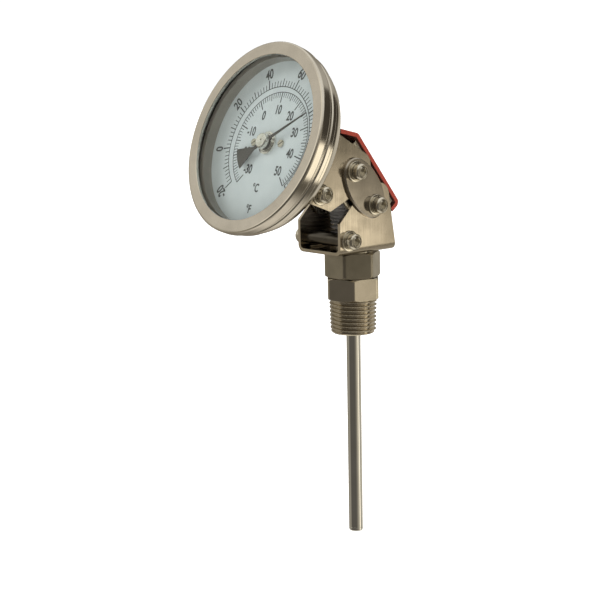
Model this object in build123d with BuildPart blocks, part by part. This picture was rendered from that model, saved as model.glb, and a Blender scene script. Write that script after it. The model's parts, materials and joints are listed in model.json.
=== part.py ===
from build123d import *
import os
from math import cos, radians, sin, sqrt, tan

# Adjustable-angle bimetal dial thermometer, in millimetres.
# The origin is on the stem axis at the underside of the wrench hex, where the pipe thread starts.
# +Z runs up the stem axis, the dial faces -Y, and both tilt pivots are parallel to X.

# ---------------------------------------------------------------- driving dimensions
STEM_R = 3.175                  # 1/4 in stem
STEM_WALL = 0.7
STEM_NECK_R = 2.85              # turned down where it stands inside the fitting and the hub
STEM_TIP_Z = -108.1
STEM_TIP_ROUND = 1.1
HEX_ACROSS = 22.2               # 7/8 in wrench size of fitting and nut
FITTING_TOP_Z = 9.6
THREAD_BOTTOM_Z = -15.4
THREAD_TOP_R = 10.65            # 1/2 - 14 NPT
THREAD_PITCH = 25.4 / 14
THREAD_DEPTH = 1.1
THREAD_TAPER = 1 / 32           # radius lost per length, a taper of 1 in 16 on diameter

PIVOT_Z = 42.4                  # lower pivot above the origin
LINK_LENGTH = 19.0              # between the two pivots
LOWER_BEND = 38.0               # stem axis to link
DIAL_TILT = 20.87               # the dial looks up by this angle
PIVOT_TO_DIAL = 46.3            # upper pivot to the bezel's front plane

BRACKET_HALF = 13.6             # half width over the bracket's plates
SHEET = 1.5
BRACKET_BASE = 20.7             # pivot to the outside of the bracket's base
BRACKET_FRONT = 19.6
BRACKET_BACK = 13.6
BRACKET_SHOULDER = 8.6
BRACKET_END_R = 9.2             # just under half the link length, so the ends pass each other
BRACKET_CORNER_R = 0.9
CORNER_FRONT = 14.4             # corner screw, from the pivot
CORNER_DOWN = 14.4

CHANNEL_HALF = 11.9             # half width over the inner channel's flanges
CHANNEL_SHEET = 1.3
CHANNEL_BACK = 11.8
CHANNEL_FRONT = 11.0
CHANNEL_REACH = 7.8             # past each pivot
CLAMP_IN = 13.7                 # clamp plates lie over the bracket plates
CLAMP_SHEET = 1.4
CLAMP_END_R = 6.8
CLAMP_TIP = 15.0                # from the link's middle
CLAMP_BEVEL = 0.5
CLAMP_ARC = 28.5                # degrees where end arc meets side arc
GUARD_SHEET = 1.8
GUARD_TOP = 9.1                 # past the upper pivot
GUARD_BOTTOM = 11.6             # past the lower pivot
GUARD_FLAP = 9.7
GUARD_FLAP_ANGLE = 39.0
GUARD_LIP = 4.7

BEZEL_R = 40.73
BEZEL_OPENING_R = 35.1
CASE_R = 38.5
CASE_BACK = 15.1                # all depths are measured back from the bezel's front plane
GLASS_FRONT = 2.1
GLASS = 2.0
DIAL_FACE = 8.9
DIAL_SHEET = 0.5
DIAL_SCREW_X = 8.6
POINTER_ANGLE = 59.5            # clockwise from the top of the dial
POINTER_DEPTH = 6.5
POINTER_SHEET = 0.35
POINTER_TIP = 24.8
POINTER_TAIL = 16.4
POINTER_FAN = 16.5              # half angle of the counterweight

BELLOWS_R = 9.5
BELLOWS_BORE = 6.7
BELLOWS_BEND_R = 28.0
BELLOWS_END = 15.3              # from each pivot back to the cuff's end
SPIGOT_R = 6.6
SPIGOT_CHAMFER = 0.6
DRIVE_R = 1.3
SPINDLE_R = 0.6
RUNNING = 0.05                  # radial clearance of a running fit
SLIP = 0.03                     # radial clearance inside one assembly

# ---------------------------------------------------------------- axes and reference frames
RIGHT = Vector(1, 0, 0)
tilt = radians(DIAL_TILT)
bend = radians(LOWER_BEND)
DIAL_OUT = Vector(0, -cos(tilt), sin(tilt))
DIAL_UP = Vector(0, sin(tilt), cos(tilt))
ALONG = Vector(0, sin(bend), -cos(bend))          # from the upper pivot to the lower one
INWARD = Vector(0, -cos(bend), -sin(bend))        # across the link, to the inside of the bend
LOWER_PIVOT = Vector(0, 0, PIVOT_Z)
UPPER_PIVOT = LOWER_PIVOT - ALONG * LINK_LENGTH
DIAL_CENTRE = UPPER_PIVOT + DIAL_OUT * PIVOT_TO_DIAL
CASE_AXIS = Axis(DIAL_CENTRE, DIAL_OUT)
BASE_DEPTH = PIVOT_TO_DIAL - BRACKET_BASE         # upper bracket's outer base face
BASE_Z = PIVOT_Z - BRACKET_BASE                   # lower bracket's outer base face


def frame(origin, x_dir, y_dir):
    """A plane given by its origin and its own x and y directions."""
    return Plane(origin=origin, x_dir=x_dir, z_dir=x_dir.cross(y_dir))


STEM_SECTION = frame(Vector(0, 0, 0), RIGHT, Vector(0, 0, 1))
CASE_SECTION = frame(DIAL_CENTRE, RIGHT, DIAL_OUT * -1)
LINK_SIDE = frame(UPPER_PIVOT, ALONG, INWARD)


def case_face(depth):
    """The plane across the case at a depth behind the bezel's front, seen from the front."""
    return frame(DIAL_CENTRE - DIAL_OUT * depth, RIGHT, DIAL_UP)


def half_section(points, plane):
    """A closed half section for a turned piece: radius first, then place along the axis."""
    with BuildSketch(plane) as section:
        with BuildLine():
            Polyline(*points, close=True)
        make_face()
    return section.sketch


def ring(inner, outer, start, end, plane, axis):
    """A plain turned ring or, with inner 0, a disc."""
    with BuildPart() as turned:
        revolve(half_section([(inner, start), (outer, start), (outer, end), (inner, end)], plane),
                axis=axis)
    return turned.part


def save(part, label):
    """Write one finished piece as its own STEP file."""
    part.label = label
    export_step(part, "parts/" + label + ".step")


os.makedirs("parts", exist_ok=True)

# ---------------------------------------------------------------- pipe fitting and union
SPIGOT_TOP_Z = 16.0
UNION_THREAD_R = 8.85
FITTING_BORE = 3.6
HEX_CORNER_R = HEX_ACROSS / sqrt(3)
HEX_CHAMFER = 1.3
SEAT_WASHER_TOP = 16.8
HUB_FLANGE_R = 8.2
HUB_FLANGE_TOP = 19.0
NUT_BOTTOM_Z = 9.9
NUT_TOP_Z = 20.9
FITTING_HEX_TURN = 18.6         # the fitting's corners, degrees round from the nut's
THREAD_RUNOUT = 0.5             # plain root between the hex and the first crest
THREAD_CHAMFER = 1.5            # radius taken off at the thread's free end


def thread_outline():
    """The pipe thread's crests and roots on its taper, from the hex down."""
    points = [(0, 0), (THREAD_TOP_R - THREAD_DEPTH, 0)]
    turns = int((-THREAD_BOTTOM_Z - THREAD_RUNOUT) / THREAD_PITCH)
    for turn in range(turns):
        start = -THREAD_RUNOUT - turn * THREAD_PITCH
        crest = THREAD_TOP_R + start * THREAD_TAPER
        points.append((crest - THREAD_DEPTH, start))
        points.append((crest, start - THREAD_PITCH * 0.42))
        points.append((crest, start - THREAD_PITCH * 0.58))
    last_root = THREAD_TOP_R + THREAD_BOTTOM_Z * THREAD_TAPER - THREAD_DEPTH
    points.append((last_root, -THREAD_RUNOUT - turns * THREAD_PITCH))
    points.append((last_root, THREAD_BOTTOM_Z))
    points.append((0, THREAD_BOTTOM_Z))
    return points


def hex_corners(bottom, top):
    """The turned outline that chamfers a hex's corners at both ends."""
    return half_section([(0, bottom), (HEX_CORNER_R - HEX_CHAMFER, bottom),
                         (HEX_CORNER_R, bottom + HEX_CHAMFER * 0.6),
                         (HEX_CORNER_R, top - HEX_CHAMFER * 0.6),
                         (HEX_CORNER_R - HEX_CHAMFER, top), (0, top)], STEM_SECTION)


with BuildPart() as thread_end:
    end_r = THREAD_TOP_R - THREAD_CHAMFER
    revolve(half_section(thread_outline(), STEM_SECTION), axis=Axis.Z)
    revolve(half_section([(0, THREAD_BOTTOM_Z), (end_r, THREAD_BOTTOM_Z),
                          (THREAD_TOP_R, THREAD_BOTTOM_Z + THREAD_CHAMFER), (THREAD_TOP_R, 0),
                          (0, 0)], STEM_SECTION), axis=Axis.Z, mode=Mode.INTERSECT)

with BuildPart() as npt_fitting:
    with BuildSketch(Plane.XY):
        RegularPolygon(HEX_ACROSS / 2, 6, major_radius=False, rotation=FITTING_HEX_TURN)
    extrude(amount=FITTING_TOP_Z)
    revolve(hex_corners(0, FITTING_TOP_Z), axis=Axis.Z, mode=Mode.INTERSECT)
    add(thread_end.part)
    with BuildSketch(Plane.XY.offset(FITTING_TOP_Z)):
        Circle(UNION_THREAD_R)
    extrude(amount=SPIGOT_TOP_Z - FITTING_TOP_Z)
    with BuildSketch(Plane.XY.offset(THREAD_BOTTOM_Z)):
        Circle(FITTING_BORE)
    extrude(amount=SPIGOT_TOP_Z - THREAD_BOTTOM_Z, mode=Mode.SUBTRACT)
save(npt_fitting.part, "npt_fitting")

save(ring(FITTING_BORE + 0.4, HUB_FLANGE_R - 0.2, SPIGOT_TOP_Z, SEAT_WASHER_TOP, STEM_SECTION,
          Axis.Z), "seat_washer")

with BuildPart() as union_nut:
    with BuildSketch(Plane.XY.offset(NUT_BOTTOM_Z)):
        RegularPolygon(HEX_ACROSS / 2, 6, major_radius=False)
    extrude(amount=NUT_TOP_Z - NUT_BOTTOM_Z)
    revolve(hex_corners(NUT_BOTTOM_Z, NUT_TOP_Z), axis=Axis.Z, mode=Mode.INTERSECT)
    with BuildSketch(Plane.XY.offset(NUT_BOTTOM_Z)):
        Circle(UNION_THREAD_R + 0.1)
    extrude(amount=HUB_FLANGE_TOP - NUT_BOTTOM_Z, mode=Mode.SUBTRACT)
    with BuildSketch(Plane.XY.offset(HUB_FLANGE_TOP)):
        Circle(SPIGOT_R + 0.2)
    extrude(amount=NUT_TOP_Z - HUB_FLANGE_TOP, mode=Mode.SUBTRACT)
save(union_nut.part, "union_nut")

# ---------------------------------------------------------------- stem, its head and its works
HUB_TOP_Z = 31.0
LOCK_NUT = 3.2
LOCK_NUT_ACROSS = 17.0
BASE_WASHER_R = 9.4
PLUG_TOP_Z = STEM_TIP_Z + 1.6
PLUG_SPIGOT = 2.0
NECK_START_Z = THREAD_BOTTOM_Z - 0.3
TUBE_TOP_Z = 30.0
TUBE_BORE = STEM_R - STEM_WALL
BUSH_LENGTH = 3.0
SPINDLE_FOOT_Z = -50.0
SPINDLE_TOP_Z = 34.1

with BuildPart() as stem_hub:
    hub_bore = STEM_NECK_R + SLIP
    revolve(half_section([(hub_bore, SEAT_WASHER_TOP), (HUB_FLANGE_R, SEAT_WASHER_TOP),
                          (HUB_FLANGE_R, HUB_FLANGE_TOP), (SPIGOT_R, HUB_FLANGE_TOP),
                          (SPIGOT_R, HUB_TOP_Z - SPIGOT_CHAMFER),
                          (SPIGOT_R - SPIGOT_CHAMFER, HUB_TOP_Z), (hub_bore, HUB_TOP_Z)],
                         STEM_SECTION), axis=Axis.Z)
save(stem_hub.part, "stem_hub")

with BuildPart() as stem_tube:
    revolve(half_section([(TUBE_BORE, PLUG_TOP_Z), (STEM_R, PLUG_TOP_Z), (STEM_R, NECK_START_Z),
                          (STEM_NECK_R, NECK_START_Z), (STEM_NECK_R, TUBE_TOP_Z),
                          (TUBE_BORE, TUBE_TOP_Z)], STEM_SECTION), axis=Axis.Z)
save(stem_tube.part, "stem_tube")

with BuildPart() as stem_end_plug:
    with BuildSketch(Plane.XY.offset(STEM_TIP_Z)):
        Circle(STEM_R)
    extrude(amount=PLUG_TOP_Z - STEM_TIP_Z)
    fillet(edges().group_by(Axis.Z)[0], radius=STEM_TIP_ROUND)
    with BuildSketch(Plane.XY.offset(PLUG_TOP_Z)):
        Circle(TUBE_BORE - SLIP)
    extrude(amount=PLUG_SPIGOT)
save(stem_end_plug.part, "stem_end_plug")

COIL_R = 1.9
COIL_PITCH = 2.6
COIL_STRIP = 1.3
COIL_THICKNESS = 0.4
COUPLING_DISC = 1.4             # the disc that joins the coil to the spindle
COUPLING_DISC_R = 1.5

with BuildPart() as bimetal_coil:
    coil_foot = PLUG_TOP_Z + PLUG_SPIGOT + 0.9
    coil_length = SPINDLE_FOOT_Z - 2.0 - coil_foot
    with BuildLine():
        Helix(pitch=COIL_PITCH, height=coil_length, radius=COIL_R, center=(0, 0, coil_foot))
    with BuildSketch(Plane(origin=(COIL_R, 0, coil_foot), x_dir=(1, 0, 0), z_dir=(0, 1, 0))):
        Rectangle(COIL_THICKNESS, COIL_STRIP)
    sweep(is_frenet=True)
save(bimetal_coil.part, "bimetal_coil")

with BuildPart() as drive_spindle:
    with BuildSketch(Plane.XY.offset(SPINDLE_FOOT_Z)):
        Circle(SPINDLE_R)
    extrude(amount=SPINDLE_TOP_Z - SPINDLE_FOOT_Z)
    with BuildSketch(Plane.XY.offset(SPINDLE_FOOT_Z - COUPLING_DISC)):
        Circle(COUPLING_DISC_R)
    extrude(amount=COUPLING_DISC)
save(drive_spindle.part, "drive_spindle")

bush_bore = SPINDLE_R + RUNNING
bush_r = TUBE_BORE - SLIP
with BuildPart() as stem_bushes:
    for foot in (SPINDLE_FOOT_Z + 4.0, TUBE_TOP_Z - BUSH_LENGTH):
        with BuildSketch(Plane.XY.offset(foot)):
            Circle(bush_r)
            Circle(bush_bore, mode=Mode.SUBTRACT)
        extrude(amount=BUSH_LENGTH)
save(stem_bushes.part, "stem_bushes")

save(ring(SPIGOT_R + SLIP, BASE_WASHER_R, NUT_TOP_Z, BASE_Z, STEM_SECTION, Axis.Z), "base_washer")


def lock_nut(plane):
    """The thin hex nut that clamps a bracket's base on its spigot."""
    with BuildPart() as nut:
        with BuildSketch(plane):
            RegularPolygon(LOCK_NUT_ACROSS / 2, 6, major_radius=False)
            Circle(SPIGOT_R + SLIP, mode=Mode.SUBTRACT)
        extrude(amount=LOCK_NUT)
    return nut.part


save(lock_nut(Plane.XY.offset(BASE_Z + SHEET)), "lower_lock_nut")


# ---------------------------------------------------------------- the two tilt brackets
PIVOT_SCREW_R = 2.4
CORNER_SCREW_R = 2.0
TIE_ROD_R = 3.0
TAPPED_DEPTH = 6.0              # of the holes in the tie rods' ends
FOLD_R = 0.7                    # inside radius of the sheet's folds
BRACKET_FOLD_R = 1.8            # inside radius where a bracket's plates leave its base
SHOULDER_R = 5.5
BRACKET_EDGE_R = 0.6


def bracket(pivot, across, outward):
    """A U bracket. across points to the outside of the bend, outward from the pivot to the base."""
    side = frame(pivot, across, outward)
    section = frame(pivot, RIGHT, outward)
    base = frame(pivot + outward * BRACKET_BASE, RIGHT, across)
    height = BRACKET_BASE + BRACKET_END_R
    middle = (BRACKET_BASE - BRACKET_END_R) / 2
    end = BRACKET_END_R
    diagonal = end * sin(radians(45))
    slant = end * sqrt(2)
    with BuildPart() as stamping:
        with BuildSketch(section):
            with Locations((0, middle)):
                Rectangle(2 * BRACKET_HALF, height)
            fillet(vertices().group_by(Axis.Y)[-1], radius=BRACKET_FOLD_R + SHEET)
            with BuildSketch(mode=Mode.PRIVATE) as inside:
                with Locations((0, middle - SHEET)):
                    Rectangle(2 * (BRACKET_HALF - SHEET), height)
                fillet(vertices().group_by(Axis.Y)[-1], radius=BRACKET_FOLD_R)
            add(inside.sketch_local, mode=Mode.SUBTRACT)
        extrude(amount=BRACKET_FRONT + 1, both=True)
        with BuildSketch(side):
            with BuildLine():
                FilletPolyline((-diagonal, -diagonal), (-BRACKET_FRONT, BRACKET_FRONT - slant),
                               (-BRACKET_FRONT, BRACKET_BASE), (BRACKET_BACK, BRACKET_BASE),
                               (BRACKET_SHOULDER, -end), (0, -end),
                               radius=[BRACKET_CORNER_R, BRACKET_EDGE_R, BRACKET_EDGE_R, SHOULDER_R])
                ThreePointArc((0, -end), (-end * sin(radians(22.5)), -end * cos(radians(22.5))),
                              (-diagonal, -diagonal))
            make_face()
        extrude(amount=BRACKET_HALF, both=True, mode=Mode.INTERSECT)
        with BuildSketch(side):
            Circle(PIVOT_SCREW_R + RUNNING)
            with Locations((-CORNER_FRONT, CORNER_DOWN)):
                Circle(CORNER_SCREW_R + SLIP)
        extrude(amount=BRACKET_HALF, both=True, mode=Mode.SUBTRACT)
        with BuildSketch(base):
            Circle(SPIGOT_R + SLIP)
        extrude(amount=2 * SHEET, both=True, mode=Mode.SUBTRACT)
    return stamping.part


STEM_OUTWARD = Vector(0, 0, -1)
STEM_ACROSS = Vector(0, 1, 0)

save(bracket(LOWER_PIVOT, STEM_ACROSS, STEM_OUTWARD), "lower_bracket")
save(bracket(UPPER_PIVOT, DIAL_UP, DIAL_OUT), "upper_bracket")

lower_corner = LOWER_PIVOT - STEM_ACROSS * CORNER_FRONT + STEM_OUTWARD * CORNER_DOWN
upper_corner = UPPER_PIVOT - DIAL_UP * CORNER_FRONT + DIAL_OUT * CORNER_DOWN


def tie_rod(centre):
    """The spacer between a bracket's plates, tapped at both ends for the corner screws."""
    with BuildPart() as rod:
        with BuildSketch(Plane(origin=centre, x_dir=(0, 1, 0), z_dir=(1, 0, 0))):
            Circle(TIE_ROD_R)
        extrude(amount=BRACKET_HALF - SHEET, both=True)
        for end in (-1, 1):
            face = centre + RIGHT * (end * (BRACKET_HALF - SHEET))
            with BuildSketch(Plane(origin=face, x_dir=(0, 1, 0), z_dir=(-end, 0, 0))):
                Circle(CORNER_SCREW_R + SLIP)
            extrude(amount=TAPPED_DEPTH, mode=Mode.SUBTRACT)
    return rod.part


save(tie_rod(lower_corner), "lower_tie_rod")
save(tie_rod(upper_corner), "upper_tie_rod")


# ---------------------------------------------------------------- screws and washers
WASHER_R = 4.5
LOCK_WASHER_R = 3.8
WASHER = 0.8
LOCK_WASHER = 1.1
LOCK_WASHER_SPLIT = 0.6
HEAD_R = 3.5
HEAD = 3.0
HEAD_ROUND = 1.0
SOCKET_ACROSS = 3.0
SOCKET_DEPTH = 1.8


def side_plane(centre, end, reach):
    """A plane across a screw's axis, facing outward on the side that end names."""
    return Plane(origin=centre + RIGHT * (end * reach), x_dir=(0, 1, 0), z_dir=(end, 0, 0))


def screws(centres, seat, shank_r, shank_end):
    """Socket screws on both sides of each centre, their heads over the two washers."""
    under_head = seat + WASHER + LOCK_WASHER
    top = under_head + HEAD
    round_start = (HEAD_R, top - HEAD_ROUND)
    round_middle = (HEAD_R - HEAD_ROUND * (1 - sin(radians(45))),
                    top - HEAD_ROUND * (1 - sin(radians(45))))
    round_end = (HEAD_R - HEAD_ROUND, top)
    with BuildPart() as group:
        for centre in centres:
            for end in (-1, 1):
                with BuildSketch(frame(centre, Vector(0, 1, 0), RIGHT * end)):
                    with BuildLine():
                        ThreePointArc(round_start, round_middle, round_end)
                        Polyline(round_end, (0, top), (0, shank_end), (shank_r, shank_end),
                                 (shank_r, under_head), (HEAD_R, under_head), round_start)
                    make_face()
                revolve(axis=Axis(centre, RIGHT))
                with BuildSketch(side_plane(centre, end, top)):
                    RegularPolygon(SOCKET_ACROSS / 2, 6, major_radius=False)
                extrude(amount=-SOCKET_DEPTH, mode=Mode.SUBTRACT)
    return group.part


def washers(centres, seat, hole_r):
    """Flat washers on both sides of each centre."""
    with BuildPart() as group:
        for centre in centres:
            for end in (-1, 1):
                with BuildSketch(side_plane(centre, end, seat)):
                    Circle(WASHER_R)
                    Circle(hole_r + SLIP, mode=Mode.SUBTRACT)
                extrude(amount=WASHER)
    return group.part


def lock_washers(centres, seat, hole_r):
    """Split spring washers on both sides of each centre."""
    with BuildPart() as group:
        for centre in centres:
            for end in (-1, 1):
                with BuildSketch(side_plane(centre, end, seat + WASHER)):
                    Circle(LOCK_WASHER_R)
                    Circle(hole_r + SLIP, mode=Mode.SUBTRACT)
                    with Locations((0, LOCK_WASHER_R)):
                        Rectangle(LOCK_WASHER_SPLIT, LOCK_WASHER_R * 1.4, mode=Mode.SUBTRACT)
                extrude(amount=LOCK_WASHER)
    return group.part


PIVOT_SEAT = CLAMP_IN + CLAMP_SHEET
CORNER_SHANK_END = BRACKET_HALF - SHEET - TAPPED_DEPTH + 1.9
for name, centres, seat, shank_r, shank_end in (
        ("pivot", (LOWER_PIVOT, UPPER_PIVOT), PIVOT_SEAT, PIVOT_SCREW_R, CHANNEL_HALF - CHANNEL_SHEET),
        ("lower_corner", (lower_corner,), BRACKET_HALF, CORNER_SCREW_R, CORNER_SHANK_END),
        ("upper_corner", (upper_corner,), BRACKET_HALF, CORNER_SCREW_R, CORNER_SHANK_END)):
    save(screws(centres, seat, shank_r, shank_end), name + "_screws")
    save(washers(centres, seat, shank_r), name + "_washers")
    save(lock_washers(centres, seat, shank_r), name + "_lock_washers")


# ---------------------------------------------------------------- link between the brackets
def clamp_plate(end):
    """The oval outer plate of the link, over the two pivots on one side."""
    middle = UPPER_PIVOT + ALONG * (LINK_LENGTH / 2) + RIGHT * (end * CLAMP_IN)
    arc = radians(CLAMP_ARC)
    centre_x = CLAMP_TIP - CLAMP_END_R
    meet_x = centre_x + CLAMP_END_R * sin(arc)
    meet_y = CLAMP_END_R * cos(arc)
    bulge = meet_y + meet_x * tan(arc / 2)
    with BuildPart() as plate:
        with BuildSketch(frame(middle, ALONG, INWARD * -end)):
            with BuildLine():
                ThreePointArc((-meet_x, meet_y), (0, bulge), (meet_x, meet_y))
                ThreePointArc((meet_x, meet_y), (CLAMP_TIP, 0), (meet_x, -meet_y))
                ThreePointArc((meet_x, -meet_y), (0, -bulge), (-meet_x, -meet_y))
                ThreePointArc((-meet_x, -meet_y), (-CLAMP_TIP, 0), (-meet_x, meet_y))
            make_face()
            with GridLocations(LINK_LENGTH, 0, 2, 1):
                Circle(PIVOT_SCREW_R + SLIP, mode=Mode.SUBTRACT)
        extrude(amount=CLAMP_SHEET)
        outer_face = faces().sort_by(Axis.X)[-1 if end > 0 else 0]
        chamfer(outer_face.outer_wire().edges(), length=CLAMP_BEVEL)
    return plate.part


save(clamp_plate(1), "clamp_plate_right")
save(clamp_plate(-1), "clamp_plate_left")

FLANGE_SLOPE_START = -4.0       # across the link, where a flange starts to narrow
FLANGE_INSET = 2.0              # from a pivot to the corner of a flange's front edge
FLANGE_CORNER_R = 3.0
GUARD_FOLD_R = 1.6

with BuildPart() as link_channel:
    channel_depth = CHANNEL_BACK + CHANNEL_FRONT
    with BuildSketch(frame(UPPER_PIVOT - ALONG * CHANNEL_REACH, RIGHT, INWARD)):
        with Locations((0, (CHANNEL_FRONT - CHANNEL_BACK) / 2)):
            Rectangle(2 * CHANNEL_HALF, channel_depth)
        fillet(vertices().group_by(Axis.Y)[0], radius=FOLD_R + CHANNEL_SHEET)
        with BuildSketch(mode=Mode.PRIVATE) as channel_inside:
            with Locations((0, (CHANNEL_FRONT - CHANNEL_BACK) / 2 + CHANNEL_SHEET)):
                Rectangle(2 * (CHANNEL_HALF - CHANNEL_SHEET), channel_depth)
            fillet(vertices().group_by(Axis.Y)[0], radius=FOLD_R)
        add(channel_inside.sketch_local, mode=Mode.SUBTRACT)
    channel_way = 1 if frame(UPPER_PIVOT, RIGHT, INWARD).z_dir.dot(ALONG) > 0 else -1
    extrude(amount=channel_way * (LINK_LENGTH + 2 * CHANNEL_REACH))
    with BuildSketch(LINK_SIDE):
        with BuildLine():
            far = LINK_LENGTH + CHANNEL_REACH
            FilletPolyline((-CHANNEL_REACH, -CHANNEL_BACK), (-CHANNEL_REACH, FLANGE_SLOPE_START),
                           (FLANGE_INSET, CHANNEL_FRONT), (LINK_LENGTH - FLANGE_INSET, CHANNEL_FRONT),
                           (far, FLANGE_SLOPE_START), (far, -CHANNEL_BACK), radius=FLANGE_CORNER_R)
            Line((far, -CHANNEL_BACK), (-CHANNEL_REACH, -CHANNEL_BACK))
        make_face()
    extrude(amount=CHANNEL_HALF, both=True, mode=Mode.INTERSECT)
    with BuildSketch(LINK_SIDE):
        with Locations((0, 0), (LINK_LENGTH, 0)):
            Circle(PIVOT_SCREW_R + SLIP)
    extrude(amount=CHANNEL_HALF, both=True, mode=Mode.SUBTRACT)
save(link_channel.part, "link_channel")

with BuildPart() as back_guard:
    flap = radians(GUARD_FLAP_ANGLE)
    mid = CHANNEL_BACK + GUARD_SHEET / 2
    top = -GUARD_TOP
    bottom = LINK_LENGTH + GUARD_BOTTOM
    with BuildSketch(LINK_SIDE):
        with BuildLine():
            FilletPolyline((top - GUARD_FLAP * cos(flap), -mid + GUARD_FLAP * sin(flap)),
                           (top, -mid), (bottom - GUARD_SHEET / 2, -mid),
                           (bottom - GUARD_SHEET / 2, -mid + GUARD_LIP), radius=GUARD_FOLD_R)
        trace(line_width=GUARD_SHEET)
    extrude(amount=CHANNEL_HALF, both=True)
save(back_guard.part, "back_guard")

# ---------------------------------------------------------------- bellows and flexible drive
cuff_foot = LOWER_PIVOT - Vector(0, 0, BELLOWS_END)
cuff_head = UPPER_PIVOT + DIAL_OUT * BELLOWS_END


def bent_tube(start, finish, outer, inner):
    """A tube up the stem axis, through both pivots and out along the dial's axis."""
    with BuildPart() as tube:
        with BuildLine():
            FilletPolyline(start, LOWER_PIVOT, UPPER_PIVOT, finish, radius=BELLOWS_BEND_R)
        with BuildSketch(Plane(origin=start, z_dir=(0, 0, 1))):
            Circle(outer)
            Circle(inner, mode=Mode.SUBTRACT)
        sweep()
    return tube.part


save(bent_tube(cuff_foot, cuff_head, BELLOWS_R, BELLOWS_BORE), "bellows")

DRIVE_LAP = 2.0
POINTER_SPINDLE_END = 34.0      # depth of the pointer spindle's rear end
drive_foot = Vector(0, 0, SPINDLE_TOP_Z - DRIVE_LAP)
drive_head = DIAL_CENTRE - DIAL_OUT * (POINTER_SPINDLE_END - DRIVE_LAP)
save(bent_tube(drive_foot, drive_head, DRIVE_R, SPINDLE_R + RUNNING), "flexible_drive")

# ---------------------------------------------------------------- case
CASE_WALL = 1.0
RIM_DEPTH = GLASS_FRONT + GLASS     # behind the glass, where the pan's rim and the spacer stand
LIP = 1.3                       # thickness of the bezel's front lip
GASKET_R = 38.2                 # outside of the gasket and the glass
BAND_DEPTH = 4.4                # end of the bezel's wide front band
STEP_R = 39.75                  # the narrower band behind it
STEP_END_R = 39.55
SKIRT_END = 8.8
PAN_EDGE = 9.0                  # the pan's straight rim ends here
PAN_SHOULDER = 12.2
PAN_SHOULDER_R = 37.5
PAN_FLAT_R = 34.6               # of the pan's flat back
NECK_R = 8.5
NECK_FLANGE_R = 12.0
NECK_FLANGE = 1.2
NECK_SLEEVE_R = 5.05            # through the pan's back
NECK_SLEEVE_DEPTH = 12.2
NECK_BORE = 3.0
NECK_END = 35.5
NECK_BUSH_DEPTH = 29.0

with BuildPart() as bezel_ring:
    revolve(half_section([(BEZEL_OPENING_R, 0.2), (BEZEL_OPENING_R + 0.2, 0), (BEZEL_R - 0.7, 0),
                          (BEZEL_R - 0.2, 0.25), (BEZEL_R, 0.8), (BEZEL_R, BAND_DEPTH - 0.5),
                          (BEZEL_R - 0.25, BAND_DEPTH - 0.1), (STEP_R, BAND_DEPTH + 0.1),
                          (STEP_END_R, SKIRT_END - 0.3), (STEP_END_R - 0.3, SKIRT_END),
                          (CASE_R + 0.1, SKIRT_END), (CASE_R + 0.1, LIP), (BEZEL_OPENING_R, LIP)],
                         CASE_SECTION), axis=CASE_AXIS)
save(bezel_ring.part, "bezel_ring")

save(ring(BEZEL_OPENING_R + 0.6, GASKET_R, LIP, GLASS_FRONT, CASE_SECTION, CASE_AXIS),
     "window_gasket")
save(ring(0, GASKET_R, GLASS_FRONT, RIM_DEPTH, CASE_SECTION, CASE_AXIS), "window_glass")

with BuildPart() as case_pan:
    pan_inside = CASE_R - CASE_WALL
    pan_hole = NECK_SLEEVE_R + 0.05
    with BuildSketch(CASE_SECTION):
        with BuildLine():
            Polyline((pan_hole, CASE_BACK), (PAN_FLAT_R, CASE_BACK))
            Spline((PAN_FLAT_R, CASE_BACK), (PAN_SHOULDER_R, PAN_SHOULDER),
                   tangents=[(1, 0), (0.35, -1)])
            Polyline((PAN_SHOULDER_R, PAN_SHOULDER), (CASE_R, PAN_EDGE), (CASE_R, RIM_DEPTH),
                     (pan_inside, RIM_DEPTH), (pan_inside, PAN_EDGE),
                     (PAN_SHOULDER_R - 1.1 * CASE_WALL, PAN_SHOULDER + 0.2),
                     (PAN_FLAT_R - 0.2, CASE_BACK - CASE_WALL), (pan_hole, CASE_BACK - CASE_WALL),
                     (pan_hole, CASE_BACK))
        make_face()
    revolve(axis=CASE_AXIS)
save(case_pan.part, "case_pan")

save(ring(BEZEL_OPENING_R + 0.2, CASE_R - CASE_WALL - 0.1, RIM_DEPTH, DIAL_FACE,
          CASE_SECTION, CASE_AXIS), "dial_spacer")

with BuildPart() as case_neck:
    neck_bore = NECK_BORE + SLIP
    revolve(half_section([(neck_bore, NECK_SLEEVE_DEPTH), (NECK_SLEEVE_R, NECK_SLEEVE_DEPTH),
                          (NECK_SLEEVE_R, CASE_BACK), (NECK_FLANGE_R, CASE_BACK),
                          (NECK_FLANGE_R, CASE_BACK + NECK_FLANGE),
                          (NECK_R, CASE_BACK + NECK_FLANGE + 0.9), (NECK_R, BASE_DEPTH),
                          (SPIGOT_R, BASE_DEPTH), (SPIGOT_R, NECK_END - SPIGOT_CHAMFER),
                          (SPIGOT_R - SPIGOT_CHAMFER, NECK_END), (neck_bore, NECK_END)],
                         CASE_SECTION), axis=CASE_AXIS)
save(case_neck.part, "case_neck")
save(lock_nut(frame(DIAL_CENTRE - DIAL_OUT * (BASE_DEPTH + SHEET), RIGHT, DIAL_UP * -1)),
     "upper_lock_nut")

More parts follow.
